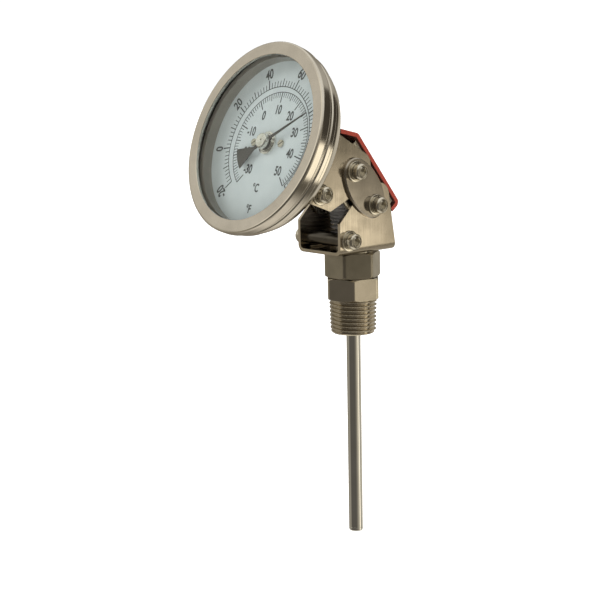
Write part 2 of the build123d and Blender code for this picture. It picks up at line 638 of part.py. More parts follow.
# ---------------------------------------------------------------- dial, its screws and the pointer
COLLAR_HOLE = 3.0
COLLAR_FRONT = 7.3
COLLAR_BACK = 11.4
COLLAR_R = 4.0
COLLAR_FLANGE_R = 4.8
COLLAR_FLANGE = 0.8
DIAL_SCREW_R = 1.6
DIAL_SCREW_HEAD = 0.7
DIAL_SCREW_SHANK_R = 0.9
DIAL_SCREW_LENGTH = 3.0
POST_R = 1.9
HUB_R = 3.3
HUB_FRONT = 4.6
HUB_BOSS_R = 1.8
HUB_BACK = 7.15
SPINDLE_FRONT = 5.8
POINTER_HALF_ROOT = 0.7
POINTER_HALF_TIP = 0.16
POINTER_WAIST = 0.75            # half width of the tail's stalk
POINTER_WAIST_END = 6.2

with BuildPart() as dial_plate:
    with BuildSketch(case_face(DIAL_FACE)):
        Circle(CASE_R - CASE_WALL - 0.2)
        Circle(COLLAR_HOLE + SLIP, mode=Mode.SUBTRACT)
        with GridLocations(2 * DIAL_SCREW_X, 0, 2, 1):
            Circle(DIAL_SCREW_SHANK_R + SLIP, mode=Mode.SUBTRACT)
    extrude(amount=-DIAL_SHEET)
save(dial_plate.part, "dial_plate")

with BuildPart() as dial_screws:
    with BuildSketch(case_face(DIAL_FACE)):
        with GridLocations(2 * DIAL_SCREW_X, 0, 2, 1):
            Circle(DIAL_SCREW_R)
    extrude(amount=DIAL_SCREW_HEAD)
    with BuildSketch(case_face(DIAL_FACE)):
        with GridLocations(2 * DIAL_SCREW_X, 0, 2, 1):
            Circle(DIAL_SCREW_SHANK_R)
    extrude(amount=-DIAL_SCREW_LENGTH)
    with BuildSketch(case_face(DIAL_FACE - DIAL_SCREW_HEAD)):
        with GridLocations(2 * DIAL_SCREW_X, 0, 2, 1):
            Rectangle(2.2 * DIAL_SCREW_R, 0.45, rotation=35)
    extrude(amount=-DIAL_SCREW_HEAD / 2, mode=Mode.SUBTRACT)
save(dial_screws.part, "dial_screws")

with BuildPart() as dial_posts:
    with BuildSketch(case_face(DIAL_FACE + DIAL_SHEET)):
        with GridLocations(2 * DIAL_SCREW_X, 0, 2, 1):
            Circle(POST_R)
            Circle(DIAL_SCREW_SHANK_R + SLIP, mode=Mode.SUBTRACT)
    extrude(amount=-(CASE_BACK - CASE_WALL - DIAL_FACE - DIAL_SHEET))
save(dial_posts.part, "dial_posts")

with BuildPart() as dial_collar:
    flange_front = DIAL_FACE - COLLAR_FLANGE
    revolve(half_section([(bush_bore, COLLAR_FRONT), (COLLAR_R - 0.3, COLLAR_FRONT),
                          (COLLAR_R, COLLAR_FRONT + 0.3), (COLLAR_R, flange_front),
                          (COLLAR_FLANGE_R, flange_front), (COLLAR_FLANGE_R, DIAL_FACE),
                          (COLLAR_HOLE, DIAL_FACE), (COLLAR_HOLE, COLLAR_BACK),
                          (bush_bore, COLLAR_BACK)], CASE_SECTION), axis=CASE_AXIS)
save(dial_collar.part, "dial_collar")

save(ring(bush_bore, NECK_BORE, NECK_BUSH_DEPTH, NECK_BUSH_DEPTH + BUSH_LENGTH, CASE_SECTION,
          CASE_AXIS), "neck_bush")

turn = radians(POINTER_ANGLE)
pointer_along = RIGHT * sin(turn) + DIAL_UP * cos(turn)
pointer_across = RIGHT * cos(turn) - DIAL_UP * sin(turn)

with BuildPart() as pointer:
    fan_x = POINTER_TAIL * sin(radians(POINTER_FAN))
    fan_y = -POINTER_TAIL * cos(radians(POINTER_FAN))
    with BuildSketch(frame(DIAL_CENTRE - DIAL_OUT * POINTER_DEPTH, pointer_across, pointer_along)):
        Circle(HUB_R)
        with BuildLine():
            Polyline((POINTER_HALF_ROOT, 0), (POINTER_HALF_TIP, POINTER_TIP),
                     (-POINTER_HALF_TIP, POINTER_TIP), (-POINTER_HALF_ROOT, 0), close=True)
        make_face()
        with BuildLine():
            Polyline((-fan_x, fan_y), (-POINTER_WAIST, -POINTER_WAIST_END), (-POINTER_WAIST, 0),
                     (POINTER_WAIST, 0), (POINTER_WAIST, -POINTER_WAIST_END), (fan_x, fan_y))
            ThreePointArc((fan_x, fan_y), (0, -POINTER_TAIL), (-fan_x, fan_y))
        make_face()
        Circle(HUB_BOSS_R + SLIP, mode=Mode.SUBTRACT)
    extrude(amount=-POINTER_SHEET)
save(pointer.part, "pointer")

with BuildPart() as pointer_hub:
    revolve(half_section([(0, HUB_FRONT + 0.5), (0.55, HUB_FRONT + 0.15), (HUB_R - 0.4, HUB_FRONT),
                          (HUB_R, HUB_FRONT + 0.3), (HUB_R, POINTER_DEPTH),
                          (HUB_BOSS_R, POINTER_DEPTH), (HUB_BOSS_R, HUB_BACK),
                          (SPINDLE_R, HUB_BACK), (SPINDLE_R, SPINDLE_FRONT), (0, SPINDLE_FRONT)],
                         CASE_SECTION), axis=CASE_AXIS)
save(pointer_hub.part, "pointer_hub")

save(ring(0, SPINDLE_R, SPINDLE_FRONT, POINTER_SPINDLE_END, CASE_SECTION, CASE_AXIS),
     "pointer_spindle")
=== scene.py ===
import json
from math import atan2, cos, hypot, pi, radians, sin, sqrt, tan

import bmesh
import bpy
from mathutils import Matrix, Vector


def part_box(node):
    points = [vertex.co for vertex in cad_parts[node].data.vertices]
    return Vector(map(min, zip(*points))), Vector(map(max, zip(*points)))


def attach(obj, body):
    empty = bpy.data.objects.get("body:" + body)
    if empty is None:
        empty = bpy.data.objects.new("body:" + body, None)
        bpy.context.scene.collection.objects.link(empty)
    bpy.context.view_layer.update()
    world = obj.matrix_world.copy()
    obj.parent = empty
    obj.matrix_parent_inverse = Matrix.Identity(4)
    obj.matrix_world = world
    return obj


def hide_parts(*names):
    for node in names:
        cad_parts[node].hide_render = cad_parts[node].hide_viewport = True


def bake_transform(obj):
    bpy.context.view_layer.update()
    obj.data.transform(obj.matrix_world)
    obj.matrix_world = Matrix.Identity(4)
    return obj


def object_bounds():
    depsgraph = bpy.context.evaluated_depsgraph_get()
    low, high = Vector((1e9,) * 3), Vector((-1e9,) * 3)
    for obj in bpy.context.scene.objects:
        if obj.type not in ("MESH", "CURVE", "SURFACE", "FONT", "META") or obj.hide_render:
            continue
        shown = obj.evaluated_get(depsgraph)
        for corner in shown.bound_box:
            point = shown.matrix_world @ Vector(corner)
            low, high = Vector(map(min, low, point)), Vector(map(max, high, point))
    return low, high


# Looks of the adjustable dial thermometer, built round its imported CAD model. Lengths named in
# millimetres are turned into metres by MM where a mesh is made.
MM = 0.001
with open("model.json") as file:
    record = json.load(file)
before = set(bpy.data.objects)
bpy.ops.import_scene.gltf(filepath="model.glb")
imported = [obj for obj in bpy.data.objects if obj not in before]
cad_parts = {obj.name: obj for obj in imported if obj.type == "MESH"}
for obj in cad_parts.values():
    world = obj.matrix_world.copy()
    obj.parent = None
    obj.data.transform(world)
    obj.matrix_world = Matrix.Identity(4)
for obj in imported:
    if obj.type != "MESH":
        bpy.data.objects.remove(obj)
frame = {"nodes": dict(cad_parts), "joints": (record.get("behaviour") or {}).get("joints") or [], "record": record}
cad_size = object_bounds()
joints = {joint["name"]: joint for joint in frame["joints"]}

# ---------------------------------------------------------------- places, all read from the frame
RIGHT = Vector((1, 0, 0))
UP = Vector((0, 0, 1))
lower_pivot = Vector(joints["lower_tilt"]["pos_m"])
upper_pivot = Vector(joints["upper_tilt"]["pos_m"])
dial_centre = Vector(joints["pointer_turn"]["pos_m"])
dial_out = -Vector(joints["pointer_turn"]["axis"]).normalized()
dial_up = dial_out.cross(RIGHT)
link_along = (lower_pivot - upper_pivot).normalized()
link_inward = link_along.cross(RIGHT)
if link_inward.y > 0:
    link_inward.negate()


def basis(origin, x_dir, y_dir, z_dir):
    """The matrix of a local frame given by its origin and three unit directions."""
    return Matrix.Translation(origin) @ Matrix((x_dir, y_dir, z_dir)).transposed().to_4x4()


# Turned pieces of the case are drawn with Z back into the case from the bezel's front plane.
CASE = basis(dial_centre, RIGHT, -dial_up, -dial_out)
STEM = Matrix.Identity(4)


def reach(node, matrix):
    """(nearest, farthest, radius) of a node along and round a local frame's Z, in millimetres."""
    inverse = matrix.inverted()
    points = [inverse @ vertex.co for vertex in frame["nodes"][node].data.vertices]
    depths = [point.z / MM for point in points]
    return min(depths), max(depths), max(hypot(p.x, p.y) for p in points) / MM


# ---------------------------------------------------------------- mesh helpers
def finish_piece(mesh_data, name, body, material, replaced=(), sharp=30, matrix=None):
    """Turns a bmesh into a finished piece that rides on a body."""
    bmesh.ops.remove_doubles(mesh_data, verts=mesh_data.verts, dist=1e-7)
    bmesh.ops.dissolve_degenerate(mesh_data, dist=1e-8, edges=mesh_data.edges)
    bmesh.ops.recalc_face_normals(mesh_data, faces=mesh_data.faces)
    mesh = bpy.data.meshes.new(name)
    mesh_data.to_mesh(mesh)
    mesh_data.free()
    if matrix is not None:
        mesh.transform(matrix)
    mesh.polygons.foreach_set("use_smooth", [True] * len(mesh.polygons))
    mesh.set_sharp_from_angle(angle=radians(sharp))
    mesh.materials.append(material)
    piece = bpy.data.objects.new(name, mesh)
    bpy.context.scene.collection.objects.link(piece)
    if body:
        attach(piece, body)
    if replaced:
        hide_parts(*replaced)
    return piece


def rounded(corners, steps=4):
    """An outline of (radius, depth, rounding) corners, each rounding turned into a short arc."""
    outline = []
    count = len(corners)
    for i, (x, y, rounding) in enumerate(corners):
        if rounding <= 0:
            outline.append((x, y))
            continue
        here = Vector((x, y))
        before = Vector(corners[i - 1][:2]) - here
        after = Vector(corners[(i + 1) % count][:2]) - here
        cut = min(rounding, before.length * 0.49, after.length * 0.49)
        first = here + before.normalized() * cut
        last = here + after.normalized() * cut
        for step in range(steps + 1):
            t = step / steps
            point = first * (1 - t) ** 2 + here * 2 * t * (1 - t) + last * t ** 2
            outline.append((point.x, point.y))
    return outline


def with_supports(outline, inset=0.04, shortest=0.25):
    """The outline with a point close to each end of its straight runs, which keeps them flat."""
    held = []
    for i, point in enumerate(outline):
        here, after = Vector(point), Vector(outline[(i + 1) % len(outline)])
        held.append(point)
        run = after - here
        if run.length > shortest:
            step = run.normalized() * inset
            held.append(tuple(here + step))
            held.append(tuple(after - step))
    return held


def add_lathe(mesh_data, outline, segments, matrix=None):
    """Adds a closed outline of (radius, depth) turned round local Z."""
    rings = []
    for x, z in outline:
        if x < 1e-6:
            rings.append([mesh_data.verts.new((0, 0, z * MM))] * segments)
            continue
        rings.append([mesh_data.verts.new((x * MM * cos(2 * pi * k / segments),
                                           x * MM * sin(2 * pi * k / segments), z * MM))
                      for k in range(segments)])
    for i, ring in enumerate(rings):
        following = rings[(i + 1) % len(rings)]
        for k in range(segments):
            n = (k + 1) % segments
            corners = []
            for vertex in (ring[k], ring[n], following[n], following[k]):
                if vertex not in corners:
                    corners.append(vertex)
            if len(corners) > 2:
                mesh_data.faces.new(corners)
    if matrix is not None:
        made = {vertex for ring in rings for vertex in ring}
        bmesh.ops.transform(mesh_data, matrix=matrix, verts=list(made))


def lathe(name, corners, matrix, body, material, replaced=(), segments=192, sharp=30):
    """A turned piece with rounded corners."""
    mesh_data = bmesh.new()
    add_lathe(mesh_data, with_supports(rounded(corners)), segments)
    return finish_piece(mesh_data, name, body, material, replaced, sharp, matrix)


def hex_radius(angle, across, soften=0.35):
    """Distance from the axis to the side of a hexagon whose corners are a little rounded."""
    side = radians(60)
    local = (angle + side / 2) % side - side / 2
    flat = across / 2 / cos(side / 2 - abs(local))
    corner = across / sqrt(3)
    return min(flat, corner - soften + 0.35 * (flat - (corner - soften))
               if flat > corner - soften else flat)


def add_hex(mesh_data, across, bottom, top, bore, turn=0.0, chamfer=1.3, slope=0.6, segments=240):
    """Adds a hex nut body with turned chamfers and a plain bore."""
    corner = across / sqrt(3)
    rings = [[] for _ in range(6)]
    for k in range(segments):
        angle = 2 * pi * k / segments
        edge = hex_radius(angle - turn, across)
        drop = max(0.0, edge - (corner - chamfer)) * slope
        face_r = min(edge, corner - chamfer)
        for ring, (r, z) in zip(rings, ((bore, bottom), (face_r, bottom), (edge, bottom + drop),
                                        (edge, top - drop), (face_r, top), (bore, top))):
            ring.append(mesh_data.verts.new((r * MM * cos(angle), r * MM * sin(angle), z * MM)))
    for i, ring in enumerate(rings):
        following = rings[(i + 1) % 6]
        for k in range(segments):
            n = (k + 1) % segments
            mesh_data.faces.new((ring[k], ring[n], following[n], following[k]))


def add_box(mesh_data, centre, x_half, y_half, z_half):
    """Adds a block given by its centre and three half-length vectors."""
    corners = [mesh_data.verts.new(centre + x_half * i + y_half * j + z_half * k)
               for k in (-1, 1) for i, j in ((-1, -1), (1, -1), (1, 1), (-1, 1))]
    for face in ((0, 1, 2, 3), (4, 7, 6, 5), (0, 4, 5, 1), (1, 5, 6, 2), (2, 6, 7, 3), (3, 7, 4, 0)):
        mesh_data.faces.new([corners[i] for i in face])


# ---------------------------------------------------------------- material helpers
def new_material(name):
    """An empty node material with its Principled shader and a mapped object coordinate."""
    material = bpy.data.materials.new(name)
    material.use_nodes = True
    tree = material.node_tree
    shader = tree.nodes["Principled BSDF"]
    place = tree.nodes.new("ShaderNodeTexCoord")
    return material, tree, shader, place.outputs["Object"]


def noise(tree, coordinate, scale, stretch=(1, 1, 1), detail=4.0, rough=0.55, turn=(0, 0, 0)):
    """A noise texture's value, in features per metre, stretched and turned."""
    mapping = tree.nodes.new("ShaderNodeMapping")
    mapping.inputs["Scale"].default_value = stretch
    mapping.inputs["Rotation"].default_value = turn
    texture = tree.nodes.new("ShaderNodeTexNoise")
    texture.inputs["Scale"].default_value = scale
    texture.inputs["Detail"].default_value = detail
    texture.inputs["Roughness"].default_value = rough
    tree.links.new(coordinate, mapping.inputs["Vector"])
    tree.links.new(mapping.outputs["Vector"], texture.inputs["Vector"])
    return texture.outputs["Fac"]


def ramp(tree, value, low, high, colour_a, colour_b):
    """Two colours blended as a value goes from low to high."""
    node = tree.nodes.new("ShaderNodeValToRGB")
    node.color_ramp.elements[0].position = low
    node.color_ramp.elements[1].position = high
    node.color_ramp.elements[0].color = (*colour_a, 1)
    node.color_ramp.elements[1].color = (*colour_b, 1)
    tree.links.new(value, node.inputs["Fac"])
    return node.outputs["Color"]


def remap(tree, value, low, high, start, end):
    """A value from low..high carried over to start..end, clamped."""
    node = tree.nodes.new("ShaderNodeMapRange")
    for socket, number in zip(("From Min", "From Max", "To Min", "To Max"), (low, high, start, end)):
        node.inputs[socket].default_value = number
    tree.links.new(value, node.inputs["Value"])
    return node.outputs["Result"]


def combine(tree, operation, a, b):
    """One maths step on two values, either of which may be a number."""
    node = tree.nodes.new("ShaderNodeMath")
    node.operation = operation
    for socket, value in zip(node.inputs, (a, b)):
        if isinstance(value, (int, float)):
            socket.default_value = value
        else:
            tree.links.new(value, socket)
    return node.outputs["Value"]


def bump(tree, shader, height, strength, distance, base=None):
    """Feeds a height, in features of a real depth, to the shader's normal."""
    node = tree.nodes.new("ShaderNodeBump")
    node.inputs["Strength"].default_value = strength
    node.inputs["Distance"].default_value = distance
    tree.links.new(height, node.inputs["Height"])
    if base is not None:
        tree.links.new(base, node.inputs["Normal"])
    tree.links.new(node.outputs["Normal"], shader.inputs["Normal"])


def soft_edges(tree, radius):
    """A normal that rounds a sheet's or a nut's edges by a radius."""
    node = tree.nodes.new("ShaderNodeBevel")
    node.samples = 4
    node.inputs["Radius"].default_value = radius
    return node.outputs["Normal"]


def turned_coordinate(tree, coordinate, matrix):
    """(radius, 0, depth) round a local frame's Z, for grain that runs round a turned piece."""
    inverse = matrix.inverted()
    rows = []
    for row in inverse[:3]:
        node = tree.nodes.new("ShaderNodeVectorMath")
        node.operation = "DOT_PRODUCT"
        node.inputs[1].default_value = row[:3]
        tree.links.new(coordinate, node.inputs[0])
        rows.append(combine(tree, "ADD", node.outputs["Value"], row[3]))
    squares = [combine(tree, "MULTIPLY", row, row) for row in rows[:2]]
    radius = combine(tree, "SQRT", combine(tree, "ADD", *squares), 0.0)
    joined = tree.nodes.new("ShaderNodeCombineXYZ")
    tree.links.new(radius, joined.inputs["X"])
    tree.links.new(rows[2], joined.inputs["Z"])
    return joined.outputs["Vector"]


def steel(name, light, dark, roughness, grain=(1, 1, 1), grain_scale=2500, grain_depth=1.5e-6,
          turned=None, edge=1.5e-4, blotch=0.5, spread=0.10, wave=0.0):
    """Stainless steel: tint that drifts, brushed or turned grain, fine scratches, soft edges.

    wave is how far rolled sheet departs from flat, in metres over about 15 mm."""
    material, tree, shader, coordinate = new_material(name)
    shader.inputs["Metallic"].default_value = 1.0
    cloud = noise(tree, coordinate, 90, detail=5)
    tint = ramp(tree, cloud, 0.5 - blotch * 0.3, 0.5 + blotch * 0.3, dark, light)
    tree.links.new(tint, shader.inputs["Base Color"])
    along = turned_coordinate(tree, coordinate, turned) if turned is not None else coordinate
    lines = noise(tree, along, grain_scale, stretch=grain, detail=3, rough=0.6)
    marks = noise(tree, coordinate, 420, stretch=(1, 0.25, 0.6), detail=6, turn=(0.4, 0.2, 0.7))
    level = combine(tree, "ADD", remap(tree, lines, 0.3, 0.7, roughness - spread / 2,
                                       roughness + spread / 2),
                    remap(tree, marks, 0.35, 0.75, -spread / 3, spread / 3))
    tree.links.new(level, shader.inputs["Roughness"])
    base = soft_edges(tree, edge) if edge else None
    if wave:
        dents = noise(tree, coordinate, 65, detail=1)
        node = tree.nodes.new("ShaderNodeBump")
        node.inputs["Strength"].default_value = 1.0
        node.inputs["Distance"].default_value = wave
        tree.links.new(dents, node.inputs["Height"])
        tree.links.new(base, node.inputs["Normal"])
        base = node.outputs["Normal"]
    bump(tree, shader, lines, 0.5, grain_depth, base)
    return material


def paint(name, light, dark, roughness, texture_scale=1800, depth=4e-6, coat=0.0, wear=None,
          edge_highlight=None):
    """A coated or printed surface with a fine orange peel and slightly uneven tone.

    wear is the colour of scuffed patches; the colour after it is painted on the cut edges, which face along X, as
    a painted highlight."""
    material, tree, shader, coordinate = new_material(name)
    cloud = noise(tree, coordinate, 160, detail=6)
    tone = ramp(tree, cloud, 0.3, 0.7, dark, light)
    if wear is not None:
        patches = noise(tree, coordinate, 700, detail=8, rough=0.7)
        share = remap(tree, patches, 0.66, 0.74, 0.0, 1.0)
        mix = tree.nodes.new("ShaderNodeMix")
        mix.data_type = "RGBA"
        mix.inputs["B"].default_value = (*wear, 1)
        tree.links.new(share, mix.inputs["Factor"])
        tree.links.new(tone, mix.inputs["A"])
        tone = mix.outputs["Result"]
    # Painted highlight: the cut edges, which face along X, get a brighter colour of their own that stands in for
    # light catching them.
    if edge_highlight is not None:
        faces = tree.nodes.new("ShaderNodeTexCoord")
        split = tree.nodes.new("ShaderNodeSeparateXYZ")
        tree.links.new(faces.outputs["Normal"], split.inputs["Vector"])
        sideways = combine(tree, "ABSOLUTE", split.outputs["X"], 0.0)
        share = remap(tree, sideways, 0.3, 0.8, 0.0, 1.0)
        mix = tree.nodes.new("ShaderNodeMix")
        mix.data_type = "RGBA"
        mix.inputs["B"].default_value = (*edge_highlight, 1)
        tree.links.new(share, mix.inputs["Factor"])
        tree.links.new(tone, mix.inputs["A"])
        tone = mix.outputs["Result"]
    tree.links.new(tone, shader.inputs["Base Color"])
    shader.inputs["Coat Weight"].default_value = coat
    shader.inputs["Coat Roughness"].default_value = 0.15
    peel = noise(tree, coordinate, texture_scale, detail=3)
    tree.links.new(remap(tree, peel, 0.3, 0.7, roughness - 0.06, roughness + 0.06),
                   shader.inputs["Roughness"])
    bump(tree, shader, peel, 0.6, depth, soft_edges(tree, 1e-4))
    return material


def rubber(name, light, dark):
    """Moulded rubber with a dusty bloom, its tone drifting at random between the two colours given, and a fine
    pebble.
    """
    material, tree, shader, coordinate = new_material(name)
    bloom = noise(tree, coordinate, 240, detail=7, rough=0.65)
    tree.links.new(ramp(tree, bloom, 0.35, 0.8, dark, light), shader.inputs["Base Color"])
    pebble = noise(tree, coordinate, 3200, detail=2)
    tree.links.new(remap(tree, bloom, 0.3, 0.7, 0.24, 0.36), shader.inputs["Roughness"])
    shader.inputs["Specular IOR Level"].default_value = 0.9
    bump(tree, shader, pebble, 0.5, 8e-6)
    return material


def window(name):
    """Clear flat glass: seen through, with a faint edge tint, a weak gloss and light wipe marks."""
    material, tree, shader, coordinate = new_material(name)
    tree.nodes.remove(shader)
    through = tree.nodes.new("ShaderNodeBsdfTransparent")
    through.inputs["Color"].default_value = (0.965, 0.985, 0.985, 1)
    gloss = tree.nodes.new("ShaderNodeBsdfGlossy")
    wipes = noise(tree, coordinate, 120, stretch=(1, 0.3, 1), detail=6, turn=(0.3, 0.1, 0.6))
    tree.links.new(remap(tree, wipes, 0.3, 0.8, 0.02, 0.07), gloss.inputs["Roughness"])
    facing = tree.nodes.new("ShaderNodeLayerWeight").outputs["Facing"]
    mirrored = combine(tree, "MULTIPLY_ADD", combine(tree, "POWER", facing, 5.0), 0.96)
    mirrored.node.inputs[2].default_value = 0.035
    mix = tree.nodes.new("ShaderNodeMixShader")
    tree.links.new(mirrored, mix.inputs["Fac"])
    tree.links.new(through.outputs["BSDF"], mix.inputs[1])
    tree.links.new(gloss.outputs["BSDF"], mix.inputs[2])
    tree.links.new(mix.outputs["Shader"], tree.nodes["Material Output"].inputs["Surface"])
    return material


ACROSS_PLATE = (0.04, 1, 0.04)      # grain that runs along X; no material here uses it
DOWN_PLATE = (1, 1, 0.03)           # grain runs along Z
ROUND_CASE = (1, 1, 1)
materials = {
    "bezel_steel": steel("bezel_steel", (0.69, 0.645, 0.57), (0.61, 0.57, 0.50), 0.14,
                         grain_scale=5200, grain_depth=1.0e-6, turned=CASE, spread=0.06),
    "case_steel": steel("case_steel", (0.70, 0.66, 0.58), (0.64, 0.60, 0.52), 0.13,
                        grain_scale=4200, grain_depth=1.2e-6, turned=CASE, spread=0.05),
    "bracket_steel": steel("bracket_steel", (0.66, 0.59, 0.48), (0.56, 0.50, 0.40), 0.15,
                           grain=DOWN_PLATE, grain_scale=2600, grain_depth=5e-7, wave=6e-5),
    "link_steel": steel("link_steel", (0.66, 0.61, 0.51), (0.56, 0.52, 0.43), 0.26,
                        grain=DOWN_PLATE, grain_scale=2600),
    "clamp_steel": steel("clamp_steel", (0.43, 0.39, 0.33), (0.35, 0.315, 0.265), 0.14,
                         grain=DOWN_PLATE, grain_scale=2600, grain_depth=5e-7, wave=6e-5),
    "fitting_steel": steel("fitting_steel", (0.66, 0.60, 0.50), (0.58, 0.53, 0.43), 0.16,
                           grain=(1, 1, 0.2), grain_scale=1800),
    "nut_steel": steel("nut_steel", (0.46, 0.42, 0.34), (0.37, 0.34, 0.27), 0.36,
                       grain=(1, 1, 0.2), grain_scale=1600, grain_depth=2.5e-6),
    "stem_steel": steel("stem_steel", (0.74, 0.73, 0.70), (0.70, 0.69, 0.65), 0.06,
                        grain=(1, 1, 0.01), grain_scale=3000, grain_depth=4e-7, spread=0.03),
    "screw_steel": steel("screw_steel", (0.72, 0.68, 0.59), (0.60, 0.56, 0.47), 0.17,
                         grain_scale=2400, spread=0.08),
    "hub_steel": steel("hub_steel", (0.93, 0.91, 0.86), (0.86, 0.83, 0.77), 0.26,
                       grain_scale=5000, turned=CASE),
    "dial_paint": paint("dial_paint", (0.50, 0.535, 0.545), (0.46, 0.495, 0.51), 0.55),
    "pointer_paint": paint("pointer_paint", (0.050, 0.045, 0.040), (0.028, 0.025, 0.022), 0.42),
    "spacer_paint": paint("spacer_paint", (0.20, 0.185, 0.160), (0.16, 0.148, 0.128), 0.34,
                          coat=0.2),
    "clear_glass": window("clear_glass"),
    # The bellows' rubber colours are lifted well above black, as painted light for the ribs that sit in the
    # brackets' shade.
    "black_rubber": rubber("black_rubber", (0.25, 0.24, 0.235), (0.14, 0.135, 0.13)),
    "gasket_rubber": rubber("gasket_rubber", (0.05, 0.05, 0.05), (0.02, 0.02, 0.02)),
    # The guard is red throughout: its faces get near-black reds as painted shade and its cut edges a bright red as
    # a painted highlight. The scuffed patches are wear.
    "guard_red": paint("guard_red", (0.085, 0.030, 0.022), (0.050, 0.020, 0.016), 0.36,
                       texture_scale=1200, depth=8e-6, wear=(0.13, 0.030, 0.022),
                       edge_highlight=(0.31, 0.038, 0.021)),
    "seal_plastic": paint("seal_plastic", (0.82, 0.81, 0.77), (0.74, 0.73, 0.69), 0.40),
    "bush_brass": steel("bush_brass", (0.78, 0.60, 0.32), (0.66, 0.49, 0.24), 0.24),
    "spring_steel": steel("spring_steel", (0.52, 0.51, 0.49), (0.42, 0.41, 0.39), 0.25),
    "bimetal_strip": steel("bimetal_strip", (0.62, 0.55, 0.46), (0.50, 0.44, 0.36), 0.30),
}
# The tie rods sit in shade inside the brackets; they get this dark steel in place of their own screw steel, as
# painted shade.
rod_painted_shade = steel("rod_steel_painted_shade", (0.16, 0.145, 0.12), (0.09, 0.082, 0.07), 0.22)
ink = paint("dial_ink", (0.040, 0.040, 0.045), (0.022, 0.022, 0.026), 0.50, depth=2e-6)

for part in frame["record"]["subparts"]:
    node = frame["nodes"][part["node"]]
    node.data.materials.clear()
    # Painted shade: tie rods take the dark steel instead of their slot's material.
    rod = part["node"].endswith("tie_rod")
    node.data.materials.append(rod_painted_shade if rod else materials[part["material_slot"]])

# ---------------------------------------------------------------- case, glass and bezel
bezel_front, bezel_back, bezel_r = reach("bezel_ring", CASE)
bezel_r -= 0.03
glass_front, glass_back, glass_r = reach("window_glass", CASE)
pan_front, pan_back, pan_r = reach("case_pan", CASE)
dial_face, dial_rear, dial_r = reach("dial_plate", CASE)
neck_front, neck_end, neck_flange_r = reach("case_neck", CASE)
OPENING_R = 35.1
BAND_END = 4.4                      # depth of the bezel's wide front band
BAND_STEP = 0.95                    # how far the narrower band behind it is set in

lathe("bezel_ring_turned",
      [(OPENING_R, bezel_front, 0.25), (bezel_r, bezel_front, 1.1), (bezel_r, BAND_END - 0.35, 0.25),
       (bezel_r - 0.32, BAND_END, 0.05), (bezel_r - BAND_STEP, BAND_END + 0.1, 0.15),
       (bezel_r - BAND_STEP - 0.1, 6.0, 0.2), (bezel_r - BAND_STEP - 0.55, 6.35, 0.15),
       (bezel_r - BAND_STEP - 0.1, 6.75, 0.1), (bezel_r - BAND_STEP - 0.1, bezel_back - 0.35, 0.2),
       (bezel_r - BAND_STEP - 0.5, bezel_back, 0.1),
       (pan_r + 0.1, bezel_back, 0), (pan_r + 0.1, 1.3, 0), (OPENING_R, 1.3, 0.15)],
      CASE, "case", materials["bezel_steel"], ("bezel_ring",), segments=360)
lathe("window_glass_disc",
      [(0, glass_front, 0), (glass_r, glass_front, 0.3), (glass_r, glass_back, 0.3),
       (0, glass_back, 0)],
      CASE, "case", materials["clear_glass"], ("window_glass",), segments=240)
lathe("case_pan_drawn",
      [(5.1, pan_back, 0), (34.3, pan_back, 0.8), (36.5, 14.3, 1.0), (37.7, 12.2, 0.9),
       (pan_r - 0.15, 11.0, 0.5), (pan_r, pan_front, 0.1), (pan_r - 1.0, pan_front, 0.1),
       (pan_r - 1.0, 9.0, 0.4), (36.4, 12.3, 0.6), (34.0, pan_back - 1.0, 0.8),
       (5.1, pan_back - 1.0, 0)],
      CASE, "case", materials["case_steel"], ("case_pan",), segments=360)
spacer_front, spacer_back, spacer_r = reach("dial_spacer", CASE)
lathe("dial_spacer_ring",
      [(OPENING_R + 0.2, spacer_front, 0.1), (spacer_r, spacer_front, 0), (spacer_r, spacer_back, 0),
       (OPENING_R + 0.2, spacer_back, 0.25)],
      CASE, "case", materials["spacer_paint"], ("dial_spacer",), segments=360)

# ---------------------------------------------------------------- what is printed on the dial
INK = 0.03                          # how far the print stands up
print_plane = dial_face - INK / 2
F_LOW, F_HIGH, F_SWEEP = -20, 120, 135.0
F_BASE, F_MINOR, F_MIDDLE, F_MAJOR = 24.3, 26.9, 27.8, 28.6
C_LOW, C_HIGH, C_SWEEP = -30, 50, 138.9
C_BASE, C_MINOR, C_MIDDLE, C_MAJOR = 22.4, 20.1, 19.4, 17.9
F_NUMBER_R, C_NUMBER_R = 31.1, 14.7
F_HEIGHT, C_HEIGHT = 4.5, 4.0
CONDENSED = 0.74
BOLDNESS = 0.075
C_ASIDE, C_DROP = 1.2, 0.5         # the inner scale is printed a little off centre


def scale_angle(value, low, high, sweep):
    """Clockwise angle from the top of the dial, in radians, of a temperature."""
    return radians(-sweep + 2 * sweep * (value - low) / (high - low))


def dial_point(radius, angle, depth=print_plane, aside=0.0, drop=0.0):
    """A point on the printed face at a radius and a clockwise angle from the top."""
    return CASE @ Vector(((radius * sin(angle) + aside) * MM, (drop - radius * cos(angle)) * MM,
                          depth * MM))


def add_tick(mesh_data, start, end, angle, width, aside=0.0, drop=0.0):
    """Adds one radial line."""
    outward = dial_up * cos(angle) + RIGHT * sin(angle)
    sideways = RIGHT * cos(angle) - dial_up * sin(angle)
    middle = dial_point((start + end) / 2, angle, aside=aside, drop=drop)
    add_box(mesh_data, middle, sideways * (width * MM / 2),
            outward * (abs(end - start) * MM / 2), dial_out * (INK * MM / 2))


def add_arc(mesh_data, radius, width, start, end, aside=0.0, drop=0.0, steps=160):
    """Adds a thin printed arc between two angles."""
    rows = []
    for step in range(steps + 1):
        angle = start + (end - start) * step / steps
        rows.append([mesh_data.verts.new(dial_point(radius + side * width / 2, angle,
                                                    print_plane + layer * INK / 2, aside, drop))
                     for side, layer in ((-1, -1), (1, -1), (1, 1), (-1, 1))])
    for row, following in zip(rows, rows[1:]):
        for i in range(4):
            n = (i + 1) % 4
            mesh_data.faces.new((row[i], row[n], following[n], following[i]))
    mesh_data.faces.new(rows[0])
    mesh_data.faces.new(rows[-1])


